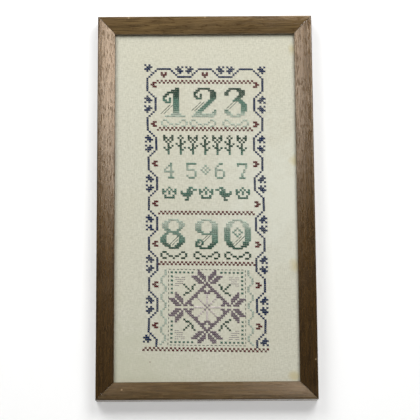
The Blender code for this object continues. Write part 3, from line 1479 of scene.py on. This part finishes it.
@dataclass
class StretchedLinen:
    """The linen on its board: one sheet, woven in relief on its face and flat behind."""

    low: Vector
    high: Vector
    middle: Vector
    yarn: float = 25.4 * MM / 28
    relief: float = 0.13 * MM
    slub: float = 0.012 * MM
    # Slubs to the metre along a yarn
    slub_repeats: float = 70.0
    sag: float = 0.2 * MM
    body: float = 1.0 * MM
    sharp: float = math.radians(60)
    # Slow ripples of the cloth: share of its sag, turns across, turns up and phase in turns
    ripples: tuple[tuple[float, ...], ...] = ((0.25, 0.0, 1.7, 0.2), (0.25, 1.3, -0.8, 0.25))

    @property
    def size(self) -> tuple[float, float]:
        """Width and height of the sheet."""
        return self.high.x - self.low.x, self.high.z - self.low.z

    def give(self, across: float, up: float) -> float:
        """How far the cloth gives at a place from -1 to 1 each way.

        Args:
            across: The place across, from the middle.
            up: The place up, from the middle.

        Returns:
            The depth in metres, nothing at the edges.
        """
        tension = (1 - across**2) * (1 - up**2)
        level = 1 - sum(share for share, *_ in self.ripples)
        for share, turns_across, turns_up, phase in self.ripples:
            turns = (turns_across * across + turns_up * up) / 2 + phase
            level += share * math.sin(math.tau * turns)
        return self.sag * tension * level

    def spot(self, across: float, up: float) -> tuple[float, float, float]:
        """A place on the cloth's face.

        Args:
            across: Metres across from the middle.
            up: Metres up from the middle.

        Returns:
            The place in the row frame.
        """
        width, height = self.size
        give = self.give(2 * across / width, 2 * up / height)
        return self.middle.x + across, self.low.y + give, self.middle.z + up

    def weave_tree(self, across: float, up: float) -> GeometryTree:
        """Raise the crossings of a plain weave and the slubs of its yarns on the face of a sheet.

        Args:
            across: Yarn spacing across, in metres.
            up: Yarn spacing up, in metres.

        Returns:
            The tree.
        """
        weave = GeometryTree("plain_weave", Relief="Float", Slub="Float", Face="Float", Finish="Material")
        given = weave.given
        spot = weave.node("GeometryNodeInputPosition")
        corner = (self.low.x, 0.0, self.low.z)
        counted = weave.node("ShaderNodeVectorMath", {0: spot, 1: corner}, operation="SUBTRACT")
        turns = {0: counted, 1: (math.pi / across, 0.0, math.pi / up)}
        half_turns = weave.node("ShaderNodeVectorMath", turns, operation="MULTIPLY")
        waves = weave.node("ShaderNodeVectorMath", {0: half_turns}, operation="COSINE")
        wave = weave.node("ShaderNodeSeparateXYZ", {0: waves}).outputs
        crossing = weave.node("ShaderNodeMath", {0: wave["X"], 1: wave["Z"]}, operation="MULTIPLY")
        height = weave.node("ShaderNodeMath", {0: crossing, 1: given["Relief"]}, operation="MULTIPLY")
        for repeats in ((self.slub_repeats, 1.0, 1 / up), (1 / across, 1.0, self.slub_repeats)):
            yarns = weave.node("ShaderNodeVectorMath", {0: spot, 1: repeats}, operation="MULTIPLY")
            noise = weave.node("ShaderNodeTexNoise", {"Vector": yarns, "Scale": 1.0, "Detail": 1.0})
            level = weave.node("ShaderNodeMath", {0: noise, 1: 0.5}, operation="SUBTRACT")
            raising = {0: level, 1: given["Slub"], 2: height}
            height = weave.node("ShaderNodeMath", raising, operation="MULTIPLY_ADD")
        forward = weave.node("ShaderNodeMath", {0: height, 1: -1.0}, operation="MULTIPLY")
        offset = weave.node("ShaderNodeCombineXYZ", {1: forward})
        depth = weave.node("ShaderNodeSeparateXYZ", {0: spot}).outputs["Y"]
        on_face = weave.node("FunctionNodeCompare", {0: depth, 1: given["Face"]}, operation="LESS_THAN")
        inputs = {"Geometry": given["Geometry"], "Selection": on_face, "Offset": offset}
        weave.end(weave.node("GeometryNodeSetPosition", inputs))
        return weave

    def build(self, material: bpy.types.Material) -> bpy.types.Object:
        """Weave the sheet: a fine face with one square for each crossing, closed by a flat back.

        Args:
            material: The linen.

        Returns:
            The piece.
        """
        width, height = self.size
        columns, rows = round(width / self.yarn), round(height / self.yarn)
        shape = bmesh.new()
        bmesh.ops.create_grid(shape, x_segments=columns, y_segments=rows, size=1.0)
        for vertex in shape.verts:
            across, up = vertex.co.x, vertex.co.y
            vertex.co = self.spot(across * width / 2, up * height / 2)
        rim = [edge for edge in shape.edges if edge.is_boundary]
        walls = bmesh.ops.extrude_edge_only(shape, edges=rim)["geom"]
        for item in walls:
            if isinstance(item, bmesh.types.BMVert):
                item.co.y = self.low.y + self.body
        bmesh.ops.contextual_create(shape, geom=[edge for edge in shape.edges if edge.is_boundary])
        bmesh.ops.recalc_face_normals(shape, faces=shape.faces)
        mesh = bpy.data.meshes.new("linen")
        shape.to_mesh(mesh)
        shape.free()
        mesh.shade_smooth()
        mesh.set_sharp_from_angle(angle=self.sharp)
        piece = new_piece("linen", mesh)
        face = self.low.y + self.body / 2
        values = {"Relief": self.relief, "Slub": self.slub, "Face": face, "Finish": material}
        self.weave_tree(width / columns, height / rows).work(piece, values)
        LOG.info("linen: %d by %d yarns, %d faces", columns, rows, len(piece.data.polygons))
        return piece


@dataclass
class PictureFrame:
    """The four rails and the backing board, which keep their solids and get their finishes."""

    middle: Vector
    side_tones: tuple[str, ...] = ("#261807", "#35240C", "#463111")
    # The top rail is painted lighter than the others: partly its own lighter stain, partly a painted
    # reflection of something bright below it
    top_tones_and_reflection: tuple[str, ...] = ("#4F3F28", "#6C5738", "#846C46")
    foot_tones: tuple[str, ...] = ("#3B301E", "#51412A", "#635135")
    # The foot rail has lost some of its wax
    foot_gloss: float = 0.42
    foot_wax: float = 0.5

    def dress(self) -> None:
        """Give each rail the grain of its own length, and the board its fibres."""
        upright = StainedWood(Grain.UP, self.side_tones).material(self.middle)
        # The top rail's tones hold a painted reflection in part
        top = StainedWood(Grain.ACROSS, self.top_tones_and_reflection).material(self.middle)
        foot = StainedWood(
            Grain.ACROSS, self.foot_tones, gloss=self.foot_gloss, wax=self.foot_wax
        ).material(self.middle)
        finishes = {
            "rail_top": (top, "stained_wood"),
            "rail_bottom": (foot, "stained_wood"),
            "rail_left": (upright, "stained_wood"),
            "rail_right": (upright, "stained_wood"),
            "backing_board": (PressedBoard().material(), "grey_board"),
        }
        for name, (material, slot) in finishes.items():
            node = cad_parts[name]
            node.data.materials.clear()
            node.data.materials.append(material)
            LOG.info("%s: %s", name, material.name)


@dataclass
class Sampler:
    """The whole sampler: its frame, its linen and the needlework on it."""

    flosses: tuple[StrandedCotton, ...] = (
        StrandedCotton(Floss.NAVY, ("#1F325B", "#314879")),
        StrandedCotton(Floss.BURGUNDY, ("#692B2D", "#7B3836")),
        StrandedCotton(Floss.GREEN, ("#264536", "#66917F", "#D0DCCB")),
        StrandedCotton(Floss.MAUVE, ("#84757F", "#F0E5E1")),
    )

    def build(self) -> None:
        """Dress the frame, build the linen and its stitches, and attach them to the sampler's one body."""
        low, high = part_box("linen_cloth")
        frame_low, frame_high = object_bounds()
        middle = (frame_low + frame_high) / 2
        PictureFrame(middle).dress()

        cloth = StretchedLinen(low, high, middle)
        linen = cloth.build(EvenWeave().material(middle))
        chart = Chart()
        for part in (MeanderBorder(), DividingRows(), CountingBands(), StarPanel()):
            part.work(chart)
        needlework = Needlework(chart, CountedGround(), StitchGauge())
        stitches = []
        for finish in self.flosses:
            material = finish.material()
            for kind in StitchKind:
                piece = needlework.work(kind, finish.floss, material, cloth)
                if piece is not None:
                    stitches.append(piece)

        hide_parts("linen_cloth")
        for piece in (linen, *stitches):
            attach(piece, BODY)


@dataclass(frozen=True)
class Softbox:
    """A soft light that faces the sampler: place from its middle and size in metres, power in watts."""

    name: str
    place: tuple[float, float, float]
    size: Place
    power: float
    # How far it is turned in its own plane, so that its foot points to the left
    splay: float = 0.0

    def hang(self, middle: Vector) -> None:
        """Hang the light, from the sampler's middle."""
        data = bpy.data.lights.new(self.name, "AREA")
        data.shape = "RECTANGLE"
        data.size, data.size_y = self.size
        data.energy = self.power
        light = bpy.data.objects.new(self.name, data)
        light.location = middle + Vector(self.place)
        facing = (-Vector(self.place)).to_track_quat("-Z", "Y")
        light.rotation_euler = (facing @ Quaternion((0, 0, -1), self.splay)).to_euler()
        light.visible_camera = False
        bpy.context.scene.collection.objects.link(light)


@dataclass
class Studio:
    """A pale wall behind the sampler, a floor far below it, soft light and the camera."""

    middle: Vector
    # The camera as fitted to the frame's edges: distance, pitch, yaw, roll and aim from the middle
    distance: float = 1.4522
    pitch: float = 0.2007
    yaw: float = -0.00155
    roll: float = -0.0067
    aim: tuple[float, float] = (0.003655, -0.002431)
    focal_pixels: float = 1646.5
    picture_pixels: float = 420.0
    sensor: float = 36.0
    wall_reach: float = 0.8
    wall_gap: float = 0.0005
    # Half the opening behind the sampler, 1 mm smaller each way than half its back
    cut_out: tuple[float, float] = (0.09425, 0.16975)
    floor_reach: float = 4.0
    floor_drop: float = 1.4
    paper: str = "#EDEDEC"
    paper_roughness: float = 0.9
    paper_glow: float = 0.38
    floor_glow: float = 0.6
    backdrop: str = "#FFFFFF"
    backdrop_light: float = 0.06
    softboxes: tuple[Softbox, ...] = (
        Softbox("right_softbox", (0.46, -1.04, 0.655), (0.64, 0.76), 9.6, math.radians(12)),
        Softbox("left_softbox", (-0.57, -0.93, 0.82), (0.68, 1.12), 10.0, math.radians(-12)),
        Softbox("back_light", (0.3, 1.6, 0.5), (1.2, 1.2), 18.0),
    )

    def build(self) -> None:
        """Set up the camera, the stage and the lights."""
        scene = bpy.context.scene
        scene.view_settings.view_transform = "Standard"
        self.camera(scene)
        self.world(scene)
        self.stage()
        for softbox in self.softboxes:
            softbox.hang(self.middle)

    def camera(self, scene: bpy.types.Scene) -> None:
        """Place the camera where the photograph was taken from.

        Args:
            scene: The scene that it serves.
        """
        view = Vector((-math.sin(self.yaw), math.cos(self.pitch), math.sin(self.pitch))).normalized()
        offset = Vector(
            (
                self.aim[0] + self.distance * math.sin(self.yaw),
                -self.distance * math.cos(self.pitch),
                self.aim[1] - self.distance * math.sin(self.pitch),
            )
        )
        right = view.cross(Vector((0, 0, 1))).normalized()
        right = Matrix.Rotation(self.roll, 3, -view) @ right
        up = right.cross(view)
        data = bpy.data.cameras.new("photo_camera")
        data.sensor_width = self.sensor
        data.lens = self.focal_pixels / self.picture_pixels * self.sensor
        camera = bpy.data.objects.new("photo_camera", data)
        turn = Matrix((right, up, -view)).transposed().to_4x4()
        place = Vector((0.0, 0.0, self.middle.z)) + offset
        camera.matrix_world = Matrix.Translation(place) @ turn
        scene.collection.objects.link(camera)
        scene.camera = camera

    def world(self, scene: bpy.types.Scene) -> None:
        """Make the white surroundings, weaker as light than as a backdrop.

        Args:
            scene: The scene that they serve.
        """
        world = bpy.data.worlds.new("white_surroundings")
        scene.world = world
        world.use_nodes = True
        tree = world.node_tree
        shader = tree.nodes["Background"]
        shader.inputs["Color"].default_value = linear(self.backdrop)
        seen = add_node(tree, "ShaderNodeLightPath")
        strength = add_node(tree, "ShaderNodeMapRange", {0: seen, 3: self.backdrop_light, 4: 1.0})
        tree.links.new(strength.outputs[0], shader.inputs["Strength"])

    def stage(self) -> None:
        """Add the white paper behind the sampler, cut out behind its back, and the pale floor."""
        square = [(-1, -1), (1, -1), (1, 1), (-1, 1)]
        corners = [
            (self.middle.x + x * reach[0], self.wall_gap, self.middle.z + z * reach[1])
            for reach in ((self.wall_reach, self.wall_reach), self.cut_out)
            for x, z in square
        ]
        strips = [(side, (side + 1) % 4, 4 + (side + 1) % 4, 4 + side) for side in range(4)]
        wall = self.panel("stage_wall", corners, strips, self.paper_glow)
        corners = [(x * self.floor_reach, y * self.floor_reach, -self.floor_drop) for x, y in square]
        floor = self.panel("stage_floor", corners, [(0, 1, 2, 3)], self.floor_glow, only_seen=True)
        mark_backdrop(wall, floor)

    def panel(
        self,
        name: str,
        corners: list[tuple[float, ...]],
        faces: list[tuple[int, ...]],
        glow: float,
        only_seen: bool = False,
    ) -> bpy.types.Object:
        """Make a flat panel of the stage, which shows from its front alone.

        Args:
            name: Its name.
            corners: Its corners.
            faces: The corners of each face, anticlockwise from the front.
            glow: How strongly its white paper is lit from behind.
            only_seen: Whether that glow lights nothing else.

        Returns:
            The panel.
        """
        mesh = bpy.data.meshes.new(name)
        mesh.from_pydata(corners, [], faces)
        surface = Surface(
            f"{name}_paint",
            self.paper_roughness,
            Base_Color=linear(self.paper),
            Emission_Color=linear(self.backdrop),
            Emission_Strength=glow,
        )
        if only_seen:
            seen = surface.node("ShaderNodeLightPath")
            strength = surface.node("ShaderNodeMath", {0: seen, 1: glow}, operation="MULTIPLY")
            surface.feed(strength, "Emission Strength")
        behind = surface.node("ShaderNodeNewGeometry").outputs["Backfacing"]
        clear = surface.node("ShaderNodeBsdfTransparent")
        paint = surface.node("ShaderNodeMixShader", {0: behind, 1: surface.shader, 2: clear})
        output = surface.tree.nodes["Material Output"]
        surface.tree.links.new(paint.outputs[0], output.inputs["Surface"])
        mesh.materials.append(surface.material)
        return new_piece(name, mesh)


def main() -> None:
    """Build the sampler and its studio."""
    logging.basicConfig(level=logging.INFO, format="%(name)s %(message)s", stream=sys.stdout)
    solid_low, solid_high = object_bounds()
    Sampler().build()
    Studio((solid_low + solid_high) / 2).build()


if __name__ == "__main__":
    main()
